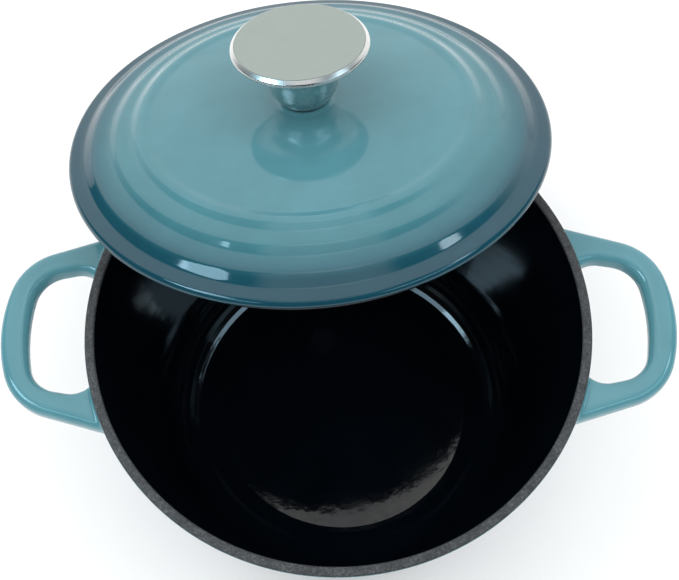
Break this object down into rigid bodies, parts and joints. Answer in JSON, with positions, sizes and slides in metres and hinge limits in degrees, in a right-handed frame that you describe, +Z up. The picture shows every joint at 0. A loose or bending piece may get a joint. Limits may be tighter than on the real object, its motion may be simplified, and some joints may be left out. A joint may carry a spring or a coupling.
{
  "type": "cast iron dutch oven",
  "caption": "Round enamelled cast iron pot with two loop handles, and a stepped domed lid with a flat-topped metal knob, shown lifted and tilted behind the pot.",
  "frame": {"origin": "centre of the pot's foot ring, on the surface that it stands on", "axes": "+Z up along the pot's axis, +X towards one loop handle, +Y towards the back, over which the lid leans"},
  "size_m": [0.2684, 0.2681, 0.1788],
  "materials": {
    "enamel": "gloss enamel, blue-green",
    "polished": "polished",
    "brushed": "fine matt",
    "bush": "machined",
    "fastener": "plain",
    "gasket": "matt"
  },
  "bodies": {
    "pot": {"pot": "enamel"},
    "lid": {"lid": "enamel", "knob_bell": "polished", "knob_cap": "brushed", "knob_bush": "bush", "knob_gasket": "gasket", "knob_screw": "fastener", "screw_washer": "fastener", "lock_washer": "fastener"}
  },
  "joints": [
    {"name": "lid_lift", "type": "slide", "parent": "pot", "child": "lid", "axis": [0, 0, 1], "range_m": [0, 0.16]}
  ]
}
